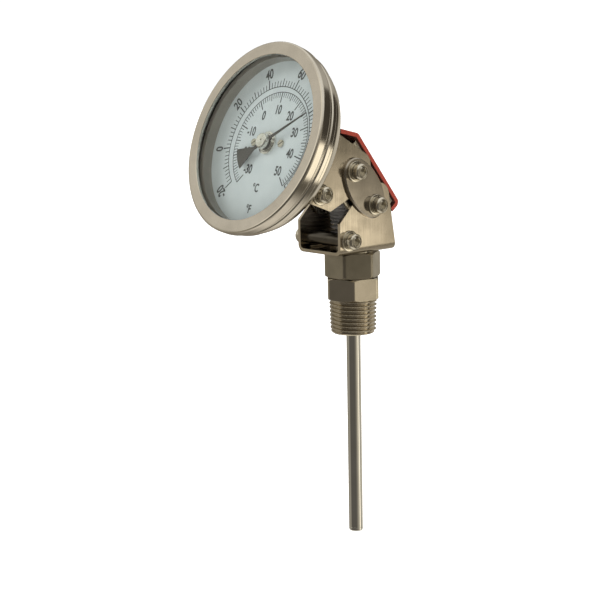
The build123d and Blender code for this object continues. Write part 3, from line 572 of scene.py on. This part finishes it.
def add_text(mesh_data, words, height, radius, angle, turn, aside=0.0, drop=0.0):
    """Adds printed figures centred at a place on the dial, turned clockwise by an angle."""
    curve = bpy.data.curves.new("figures", "FONT")
    curve.body = words
    curve.align_x = "CENTER"
    curve.align_y = "CENTER"
    curve.size = height * MM * 1.36
    curve.offset = height * MM * BOLDNESS / 2
    curve.extrude = INK * MM / 2
    curve.resolution_u = 5
    letters = bpy.data.objects.new("figures", curve)
    bpy.context.scene.collection.objects.link(letters)
    bpy.context.view_layer.update()
    mesh = bpy.data.meshes.new_from_object(letters.evaluated_get(
        bpy.context.evaluated_depsgraph_get()))
    centre = dial_point(radius, angle, aside=aside, drop=drop)
    across = RIGHT * cos(turn) - dial_up * sin(turn)
    upright = RIGHT * sin(turn) + dial_up * cos(turn)
    mesh.transform(basis(centre, across, upright, dial_out)
                   @ Matrix.Diagonal((CONDENSED, 1, 1, 1)))
    mesh_data.from_mesh(mesh)
    bpy.data.objects.remove(letters)
    bpy.data.curves.remove(curve)
    bpy.data.meshes.remove(mesh)


outer_scale = bmesh.new()
for value in range(F_LOW, F_HIGH + 1, 2):
    angle = scale_angle(value, F_LOW, F_HIGH, F_SWEEP)
    if value % 20 == 0:
        add_tick(outer_scale, F_BASE, F_MAJOR, angle, 0.56)
    elif value % 10 == 0:
        add_tick(outer_scale, F_BASE, F_MIDDLE, angle, 0.44)
    else:
        add_tick(outer_scale, F_BASE, F_MINOR, angle, 0.36)
add_arc(outer_scale, F_BASE, 0.36, radians(-F_SWEEP), radians(F_SWEEP))
finish_piece(outer_scale, "scale_fahrenheit", "case", ink)

inner_scale = bmesh.new()
for value in range(C_LOW, C_HIGH + 1):
    angle = scale_angle(value, C_LOW, C_HIGH, C_SWEEP)
    if value % 10 == 0:
        add_tick(inner_scale, C_MAJOR, C_BASE, angle, 0.52, C_ASIDE, C_DROP)
    elif value % 5 == 0:
        add_tick(inner_scale, C_MIDDLE, C_BASE, angle, 0.40, C_ASIDE, C_DROP)
    else:
        add_tick(inner_scale, C_MINOR, C_BASE, angle, 0.30, C_ASIDE, C_DROP)
add_arc(inner_scale, C_BASE, 0.32, radians(-C_SWEEP), radians(C_SWEEP), C_ASIDE, C_DROP)
finish_piece(inner_scale, "scale_celsius", "case", ink)

figures = bmesh.new()
for value in range(F_LOW, F_HIGH + 1, 20):
    angle = scale_angle(value, F_LOW, F_HIGH, F_SWEEP)
    add_text(figures, str(value), F_HEIGHT, F_NUMBER_R, angle, angle)
for value in range(C_LOW, C_HIGH + 1, 10):
    angle = scale_angle(value, C_LOW, C_HIGH, C_SWEEP)
    add_text(figures, str(value), C_HEIGHT, C_NUMBER_R, angle, 0.0, C_ASIDE, C_DROP)
add_text(figures, "°C", 3.6, 19.3, radians(181), 0.0)
add_text(figures, "°F", 3.6, 28.4, radians(183), 0.0)
finish_piece(figures, "dial_figures", "case", ink)

# ---------------------------------------------------------------- pointer hub
hub_front, hub_back, hub_r = reach("pointer_hub", CASE)
pointer_front, pointer_back, pointer_r = reach("pointer", CASE)
KNURLS = 36
lathe("pointer_hub_cap",
      [(0, hub_front + 0.5, 0), (0.55, hub_front + 0.15, 0.2), (hub_r - 0.5, hub_front, 0.2),
       (hub_r - 0.1, hub_front + 0.35, 0.3), (hub_r - 0.1, pointer_front, 0.05),
       (1.8, pointer_front, 0), (1.8, hub_back, 0.05), (0.6, hub_back, 0), (0.6, 5.8, 0), (0, 5.8, 0)],
      CASE, "pointer", materials["hub_steel"], ("pointer_hub",), segments=96)
knurl = bmesh.new()
for k in range(KNURLS):
    angle = 2 * pi * k / KNURLS
    outward = dial_up * cos(angle) + RIGHT * sin(angle)
    sideways = RIGHT * cos(angle) - dial_up * sin(angle)
    middle = (hub_front + 0.45 + pointer_front) / 2
    half = (pointer_front - hub_front - 0.45) / 2
    tip = [(-0.19, hub_r - 0.14), (0, hub_r + 0.0), (0.19, hub_r - 0.14)]
    rows = [[knurl.verts.new(CASE @ Vector((0, 0, (middle + end * half) * MM))
                             + sideways * (side * MM) + outward * (out * MM)) for side, out in tip]
            for end in (-1, 1)]
    for i in range(3):
        n = (i + 1) % 3
        knurl.faces.new((rows[0][i], rows[0][n], rows[1][n], rows[1][i]))
    knurl.faces.new(rows[0])
    knurl.faces.new(rows[1])
finish_piece(knurl, "pointer_hub_knurl", "pointer", materials["hub_steel"])

# ---------------------------------------------------------------- pipe fitting and union nut
thread_bottom, spigot_top, hex_corner_r = reach("npt_fitting", STEM)
nut_bottom, nut_top, nut_corner_r = reach("union_nut", STEM)
HEX_ACROSS = 22.2
FITTING_HEX_TOP = nut_bottom - 0.3
FITTING_BORE = 3.6
SPIGOT_R = 8.85
THREAD_R = 10.65
THREAD_PITCH = 25.4 / 14
THREAD_DEPTH = 1.25
THREAD_TAPER = 1 / 32
THREAD_RUNOUT = 1.6
THREAD_CHAMFER = 1.5


def thread_radius(z, phase):
    """Radius of the tapered thread at a height, where phase 0 is a root and 0.5 a crest."""
    crest = THREAD_R + z * THREAD_TAPER
    tooth = min(1.0, max(0.0, 1.25 - abs(phase - 0.5) * 3.0))
    depth = THREAD_DEPTH * min(1.0, 0.25 + -z / THREAD_RUNOUT)
    radius = crest - depth * (1 - tooth)
    chamfer = THREAD_R - THREAD_CHAMFER + (z - thread_bottom)
    return min(radius, chamfer)


def add_thread(mesh_data, turns_segments=120, steps=10):
    """Adds the helical pipe thread with its end face, as rows that follow the helix."""
    turns = int(-thread_bottom / THREAD_PITCH) + 2
    rows = (turns + 1) * steps
    columns = []
    for k in range(turns_segments):
        share = k / turns_segments
        column = []
        for j in range(rows + 1):
            z = (-(j / steps - 1) - share) * THREAD_PITCH
            phase = (j / steps) % 1.0
            z = min(0.0, max(thread_bottom, z))
            r = thread_radius(z, phase)
            column.append(mesh_data.verts.new((r * MM * cos(2 * pi * share),
                                               r * MM * sin(2 * pi * share), z * MM)))
        columns.append(column)
    for k in range(turns_segments):
        column = columns[k]
        following = columns[(k + 1) % turns_segments]
        shift = steps if k == turns_segments - 1 else 0
        for j in range(rows - steps):
            mesh_data.faces.new((column[j], column[j + 1],
                                 following[j + 1 + shift], following[j + shift]))


fitting = bmesh.new()
cad_turn = 0.0
for vertex in frame["nodes"]["npt_fitting"].data.vertices:
    spot = vertex.co / MM
    if spot.z > 0.2 and hypot(spot.x, spot.y) > hex_corner_r - 0.02:
        cad_turn = atan2(spot.y, spot.x)
add_hex(fitting, HEX_ACROSS, 0, FITTING_HEX_TOP, FITTING_BORE, turn=cad_turn)
add_lathe(fitting, rounded([(FITTING_BORE, FITTING_HEX_TOP, 0), (SPIGOT_R, FITTING_HEX_TOP, 0),
                            (SPIGOT_R, spigot_top, 0.5), (FITTING_BORE, spigot_top, 0.2)]), 120)
add_lathe(fitting, rounded([(FITTING_BORE, thread_bottom, 0.2),
                            (THREAD_R - THREAD_DEPTH - 0.9, thread_bottom, 0.1),
                            (THREAD_R - THREAD_DEPTH - 0.9, 0, 0), (FITTING_BORE, 0, 0)]), 120)
finish_piece(fitting, "npt_fitting_hex", "fitting", materials["fitting_steel"],
             ("npt_fitting",), sharp=25)
helix = bmesh.new()
add_thread(helix)
finish_piece(helix, "npt_thread", "fitting", materials["fitting_steel"], sharp=45)

union = bmesh.new()
add_hex(union, HEX_ACROSS, nut_bottom, nut_top, SPIGOT_R + 0.1)
add_lathe(union, [(6.8, 19.0), (SPIGOT_R + 0.1, 19.0), (SPIGOT_R + 0.1, nut_top), (6.8, nut_top)], 120)
finish_piece(union, "union_nut_hex", "union_nut", materials["nut_steel"],
             ("union_nut",), sharp=25)

# ---------------------------------------------------------------- stem
tube_bottom, tube_top, stem_r = reach("stem_tube", STEM)
stem_tip = reach("stem_end_plug", STEM)[0]
lathe("stem_tube_polished",
      [(2.5, tube_bottom, 0), (stem_r, tube_bottom, 0.06), (stem_r, thread_bottom - 0.3, 0.1),
       (2.85, thread_bottom - 0.3, 0), (2.85, tube_top, 0), (2.5, tube_top, 0)],
      STEM, "stem_head", materials["stem_steel"], ("stem_tube",), segments=96)
lathe("stem_end_cap",
      [(0, stem_tip, 0), (stem_r, stem_tip, 1.4), (stem_r, tube_bottom, 0.06), (2.4, tube_bottom, 0),
       (2.4, tube_bottom + 2, 0.2), (0, tube_bottom + 2, 0)],
      STEM, "stem_head", materials["stem_steel"], ("stem_end_plug",), segments=96)


# ---------------------------------------------------------------- screws and washers
HEAD_R = 3.5
HEAD = 3.0
SOCKET = 1.55
SHANK_END = 8.0


def add_screw(mesh_data, centre, end, under_head, shank_r):
    """Adds a button-head screw with a hex socket, its axis along X on the side that end names."""
    side = basis(centre, Vector((0, 1, 0)), Vector((0, 0, end)), RIGHT * end)
    segments = 96
    top = under_head + HEAD
    outline = rounded([(HEAD_R, under_head, 0.15), (HEAD_R, top - 0.9, 0.5),
                       (HEAD_R - 0.95, top, 0.55)], 6)
    outline = [(shank_r, SHANK_END), (shank_r, under_head)] + outline
    rings = [[(r * cos(2 * pi * k / segments), r * sin(2 * pi * k / segments), z)
              for k in range(segments)] for r, z in outline]
    for r_scale, z in ((1.06, top), (1.0, top - 0.12), (1.0, top - 1.8)):
        rings.append([(hex_radius(2 * pi * k / segments, SOCKET * 2, 0.05) * r_scale
                       * cos(2 * pi * k / segments),
                       hex_radius(2 * pi * k / segments, SOCKET * 2, 0.05) * r_scale
                       * sin(2 * pi * k / segments), z) for k in range(segments)])
    made = [[mesh_data.verts.new(side @ (Vector(point) * MM)) for point in ring] for ring in rings]
    for ring, following in zip(made, made[1:]):
        for k in range(segments):
            n = (k + 1) % segments
            mesh_data.faces.new((ring[k], ring[n], following[n], following[k]))
    mesh_data.faces.new(made[0])
    mesh_data.faces.new(made[-1])


def add_washer(mesh_data, centre, end, seat, thickness, radius, hole):
    """Adds a pressed washer with rounded rims."""
    side = basis(centre, Vector((0, 1, 0)), Vector((0, 0, end)), RIGHT * end)
    add_lathe(mesh_data, rounded([(hole, seat, 0.1), (radius, seat, 0.1),
                                  (radius, seat + thickness, 0.3),
                                  (hole, seat + thickness, 0.15)]), 96, side)


def add_split_washer(mesh_data, centre, end, seat, thickness, radius, hole):
    """Adds a spring washer: a square section wound round with a slanted gap."""
    side = basis(centre, Vector((0, 1, 0)), Vector((0, 0, end)), RIGHT * end)
    segments = 72
    rows = []
    for k in range(segments + 1):
        share = k / segments
        angle = radians(96) + share * radians(348)
        lift = 0.12 * (1 - share)
        section = ((hole, seat + 0.02), (radius, seat + 0.02), (radius, seat + thickness - lift),
                   (hole, seat + thickness - lift))
        rows.append([mesh_data.verts.new(side @ (Vector((r * cos(angle), r * sin(angle), z)) * MM))
                     for r, z in section])
    for row, following in zip(rows, rows[1:]):
        for i in range(4):
            n = (i + 1) % 4
            mesh_data.faces.new((row[i], row[n], following[n], following[i]))
    mesh_data.faces.new(rows[0])
    mesh_data.faces.new(rows[-1])


def node_centre_x(node):
    """Where the +X end of a group of screws or washers starts and ends, in millimetres."""
    xs = [vertex.co.x / MM for vertex in frame["nodes"][node].data.vertices if vertex.co.x > 0]
    return min(xs), max(xs)


def middle_of(node):
    """Middle of a node's box."""
    low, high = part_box(node)
    return (low + high) / 2


fastened = (
    ("pivot", "link", (lower_pivot, upper_pivot), 2.4),
    ("lower_corner", "stem_head", (middle_of("lower_tie_rod"),), 2.0),
    ("upper_corner", "case", (middle_of("upper_tie_rod"),), 2.0),
)
for name, body, centres, shank_r in fastened:
    seat, washer_top = node_centre_x(name + "_washers")
    lock_top = node_centre_x(name + "_lock_washers")[1]
    heads, flats, springs = bmesh.new(), bmesh.new(), bmesh.new()
    for centre in centres:
        centre = Vector((0, centre.y, centre.z))
        for end in (-1, 1):
            add_screw(heads, centre, end, lock_top, shank_r)
            add_washer(flats, centre, end, seat, washer_top - seat, 4.5, shank_r + 0.03)
            add_split_washer(springs, centre, end, washer_top, lock_top - washer_top, 3.8,
                             shank_r + 0.03)
    for pieces, kind in ((heads, "screws"), (flats, "washers"), (springs, "lock_washers")):
        finish_piece(pieces, name + "_" + kind + "_detail", body,
                     materials["screw_steel"], (name + "_" + kind,), sharp=32)

# ---------------------------------------------------------------- bellows and flexible drive
BEND_R = 28.0
BELLOWS_R = 9.5
BELLOWS_ROOT = 7.35
RIB_PITCH = 2.3
CUFF = 2.6


def bend_route(start, finish):
    """A function of arc length, and its length, for a route through both pivots with round bends."""
    corners = [start, lower_pivot, upper_pivot, finish]
    pieces = []
    here = start
    for i in (1, 2):
        before = (corners[i] - corners[i - 1]).normalized()
        after = (corners[i + 1] - corners[i]).normalized()
        turn = before.angle(after)
        cut = BEND_R * MM * tan(turn / 2)
        first = corners[i] - before * cut
        inward = (after - before * before.dot(after)).normalized()
        pieces.append(("line", here, before, (first - here).length))
        pieces.append(("arc", first, before, inward, turn * BEND_R * MM))
        here = corners[i] + after * cut
    pieces.append(("line", here, (finish - here).normalized(), (finish - here).length))
    total = sum(piece[-1] for piece in pieces)

    def at(length):
        """The point and the direction at an arc length."""
        left = min(max(length, 0.0), total)
        for piece in pieces:
            if left <= piece[-1] + 1e-9:
                break
            left -= piece[-1]
        if piece[0] == "line":
            return piece[1] + piece[2] * left, piece[2]
        turned = left / (BEND_R * MM)
        point = piece[1] + piece[2] * (sin(turned) * BEND_R * MM)
        point = point + piece[3] * ((1 - cos(turned)) * BEND_R * MM)
        return point, piece[2] * cos(turned) + piece[3] * sin(turned)

    return at, total


def ribbed_tube(name, at, start, end, profile, slot, segments=64):
    """A tube along a route whose outside radius follows profile(arc length), with a thin wall."""
    mesh_data = bmesh.new()
    steps = int((end - start) / (0.16 * MM))
    outer, inner = [], []
    for step in range(steps + 1):
        length = start + (end - start) * step / steps
        point, direction = at(length)
        across = direction.cross(RIGHT).normalized()
        radius = profile(length)
        for rings, r in ((outer, radius), (inner, min(radius - 0.6 * MM, profile.inside))):
            rings.append([mesh_data.verts.new(point + RIGHT * (r * cos(2 * pi * k / segments))
                                              + across * (r * sin(2 * pi * k / segments)))
                          for k in range(segments)])
    for rings in (outer, inner):
        for ring, following in zip(rings, rings[1:]):
            for k in range(segments):
                n = (k + 1) % segments
                mesh_data.faces.new((ring[k], ring[n], following[n], following[k]))
    for ring, other in ((outer[0], inner[0]), (outer[-1], inner[-1])):
        for k in range(segments):
            n = (k + 1) % segments
            mesh_data.faces.new((ring[k], ring[n], other[n], other[k]))
    return finish_piece(mesh_data, name, None, materials[slot], sharp=60)


class Ribs:
    """Outside radius of a ribbed tube, with plain cuffs at both ends."""

    def __init__(self, total, crest, root, pitch, cuff, inside):
        self.total, self.crest, self.root = total, crest * MM, root * MM
        self.cuff, self.inside = cuff * MM, inside * MM
        length = total - 2 * self.cuff
        self.count = round(length / (pitch * MM))
        self.pitch = length / self.count if self.count else pitch * MM

    def __call__(self, length):
        reach_in = min(length, self.total - length)
        if reach_in < self.cuff:
            bead = 0.5 + 0.5 * cos(2 * pi * reach_in / self.cuff)
            return self.crest - (self.crest - self.root) * 0.45 * (1 - bead)
        wave = 0.5 + 0.5 * cos(2 * pi * (length - self.cuff) / self.pitch)
        return self.root + (self.crest - self.root) * wave ** 0.8


def flexible_pair(name, start, finish, ribs_of, slot, node):
    """Two halves of a flexible tube, each bending over one pivot, that meet in the link."""
    at, total = bend_route(start, finish)
    ribs = ribs_of(total)
    middle = total / 2 + ((lower_pivot - start).length - (upper_pivot - finish).length) / 2
    middle = ribs.cuff + round((middle - ribs.cuff) / ribs.pitch) * ribs.pitch + ribs.pitch / 2
    for half, body, low, high, pivot, tail in (("lower", "stem_head", 0.0, middle, lower_pivot, start),
                                               ("upper", "case", middle, total, upper_pivot, finish)):
        piece = ribbed_tube(name + "_" + half, at, low, high, ribs, slot)
        if half == "lower":
            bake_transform(piece)
        else:
            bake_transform(piece)
        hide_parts(node)


bellows_low, bellows_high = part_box("bellows")
cuff_foot = Vector((0, 0, bellows_low.z))
cuff_head = upper_pivot + dial_out * (lower_pivot.z - bellows_low.z)
flexible_pair("bellows", cuff_foot, cuff_head,
              lambda total: Ribs(total, BELLOWS_R, BELLOWS_ROOT, RIB_PITCH, CUFF, 6.75),
              "black_rubber", "bellows")
drive_foot = Vector((0, 0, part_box("flexible_drive")[0].z))
drive_depth = reach("flexible_drive", CASE)[0]
flexible_pair("flexible_drive", drive_foot, CASE @ Vector((0, 0, drive_depth * MM)),
              lambda total: Ribs(total, 1.28, 1.02, 0.5, 0.6, 0.62), "spring_steel",
              "flexible_drive")

# ---------------------------------------------------------------- floor, studio light and camera
stem_low = cad_size[0].z
floor_mesh = bpy.data.meshes.new("floor")
HALF_FLOOR = 6.0
floor_mesh.from_pydata([(-HALF_FLOOR, -HALF_FLOOR, 0), (HALF_FLOOR, -HALF_FLOOR, 0),
                        (HALF_FLOOR, HALF_FLOOR, 0), (-HALF_FLOOR, HALF_FLOOR, 0)], [], [(0, 1, 2, 3)])
floor = bpy.data.objects.new("floor", floor_mesh)
bpy.context.scene.collection.objects.link(floor)
floor.location.z = stem_low - 0.2 * MM
floor.visible_glossy = False
floor_material, floor_tree, floor_shader, floor_coordinate = new_material("floor")
floor_cloud = noise(floor_tree, floor_coordinate, 3)
floor_tree.links.new(ramp(floor_tree, floor_cloud, 0.3, 0.7, (0.93, 0.93, 0.93), (0.95, 0.95, 0.95)),
                     floor_shader.inputs["Base Color"])
floor_shader.inputs["Roughness"].default_value = 0.9
floor_shader.inputs["Specular IOR Level"].default_value = 0.1
floor_shader.inputs["Emission Color"].default_value = (1.0, 1.0, 1.0, 1)
floor_shader.inputs["Emission Strength"].default_value = 0.7
floor_mesh.materials.append(floor_material)

# What the metal mirrors: soft panels (azimuth from, to; elevation from, to; softness; colour), in
# degrees round the object from +X towards +Y. Later panels lie over earlier ones.
ROOM = (0.26, 0.235, 0.19)
PANELS = (
    (-400, 400, 34, 90, 14, (0.90, 0.88, 0.82)),
    (-400, 400, -90, -56, 12, (0.85, 0.80, 0.70)),
    (-120, 66, -56, -36, 7, (0.14, 0.125, 0.10)),
    (26, 45, -38, -5.0, 2.2, (1.60, 1.47, 1.20)),
    (0, 26, -22, 4, 6, (0.66, 0.60, 0.48)),
    (32, 80, -3.5, 36, 2.5, (0.065, 0.057, 0.045)),
    (46, 58, -14, 0, 2.5, (0.10, 0.09, 0.07)),
    (62, 125, -40, 6, 9, (0.62, 0.58, 0.50)),
    (-124, -22, -40, 24, 9, (0.12, 0.11, 0.095)),
    (-176, -124, 4, 60, 9, (0.66, 0.63, 0.56)),
    (-139, -112, 8, 44, 5, (1.0, 0.95, 0.84)),
    (-176, -124, -34, 4, 9, (0.36, 0.33, 0.27)),
)


MATT_SHARE = 0.55                   # how much of the panels' light matt surfaces get


def build_world():
    """White for the camera, and the studio's panels for reflections and light."""
    world = bpy.data.worlds.new("studio")
    bpy.context.scene.world = world
    world.use_nodes = True
    tree = world.node_tree
    background = tree.nodes["Background"]
    place = tree.nodes.new("ShaderNodeTexCoord")
    split = tree.nodes.new("ShaderNodeSeparateXYZ")
    tree.links.new(place.outputs["Generated"], split.inputs["Vector"])
    azimuth = combine(tree, "MULTIPLY", combine(tree, "ARCTAN2", split.outputs["Y"],
                                                split.outputs["X"]), 180 / pi)
    elevation = combine(tree, "MULTIPLY", combine(tree, "ARCSINE", split.outputs["Z"], 0.0), 180 / pi)
    colour = None
    for left, right, low, high, soft, tint in PANELS:
        mask = None
        for value, start, end in ((azimuth, left, right), (elevation, low, high)):
            for edge, way in ((start, 1), (end, -1)):
                step = remap(tree, value, edge - soft * way, edge + soft * way, 0.0, 1.0)
                mask = step if mask is None else combine(tree, "MULTIPLY", mask, step)
        mix = tree.nodes.new("ShaderNodeMix")
        mix.data_type = "RGBA"
        mix.inputs["A"].default_value = (*ROOM, 1)
        mix.inputs["B"].default_value = (*tint, 1)
        tree.links.new(mask, mix.inputs["Factor"])
        if colour is not None:
            tree.links.new(colour, mix.inputs["A"])
        colour = mix.outputs["Result"]
    rays = tree.nodes.new("ShaderNodeLightPath")
    seen = tree.nodes.new("ShaderNodeMix")
    seen.data_type = "RGBA"
    seen.inputs["B"].default_value = (1.05, 1.05, 1.05, 1)
    tree.links.new(rays.outputs["Is Camera Ray"], seen.inputs["Factor"])
    tree.links.new(colour, seen.inputs["A"])
    tree.links.new(seen.outputs["Result"], background.inputs["Color"])
    tree.links.new(remap(tree, rays.outputs["Is Diffuse Ray"], 0.0, 1.0, 1.0, MATT_SHARE),
                   background.inputs["Strength"])


def area_light(name, position, aim, size, watts, colour):
    """A soft square light that points at the object."""
    data = bpy.data.lights.new(name, "AREA")
    data.shape = "SQUARE"
    data.size = size
    data.energy = watts
    data.color = colour
    light = bpy.data.objects.new(name, data)
    bpy.context.scene.collection.objects.link(light)
    light.location = position
    light.rotation_mode = "QUATERNION"
    light.rotation_quaternion = (Vector(aim) - Vector(position)).to_track_quat("-Z", "Y")
    light.visible_glossy = False


build_world()
object_middle = (dial_centre + lower_pivot) / 2
area_light("key", (-0.80, -0.62, 0.62), object_middle, 0.40, 6.0, (1.0, 0.96, 0.93))
area_light("fill", (0.65, -0.62, 0.02), object_middle, 0.6, 5.0, (1.0, 0.95, 0.86))
sky_data = bpy.data.lights.new("overhead", "SUN")
sky_data.energy = 1.25
sky_data.angle = radians(80)
overhead = bpy.data.objects.new("overhead", sky_data)
bpy.context.scene.collection.objects.link(overhead)
overhead.visible_glossy = False

CAMERA_PLACE = Vector((0.39706, -0.37186, 0.09887))
CAMERA_TURN, CAMERA_RISE, CAMERA_ROLL = radians(49.587), radians(10.133), radians(1.252)
CAMERA_LENS = 75.84
back = Vector((sin(CAMERA_TURN) * cos(CAMERA_RISE), -cos(CAMERA_TURN) * cos(CAMERA_RISE),
               sin(CAMERA_RISE)))
level = Vector((cos(CAMERA_TURN), sin(CAMERA_TURN), 0))
upward = back.cross(level)
camera_x = level * cos(CAMERA_ROLL) - upward * sin(CAMERA_ROLL)
camera_y = level * sin(CAMERA_ROLL) + upward * cos(CAMERA_ROLL)
camera_data = bpy.data.cameras.new("camera")
camera_data.sensor_width = 36
camera_data.lens = CAMERA_LENS
camera_data.clip_start = 0.01
camera_data.clip_end = 50
camera = bpy.data.objects.new("camera", camera_data)
bpy.context.scene.collection.objects.link(camera)
camera.matrix_world = basis(CAMERA_PLACE, camera_x, camera_y, back)
bpy.context.scene.camera = camera
bpy.context.scene.view_settings.view_transform = "Standard"
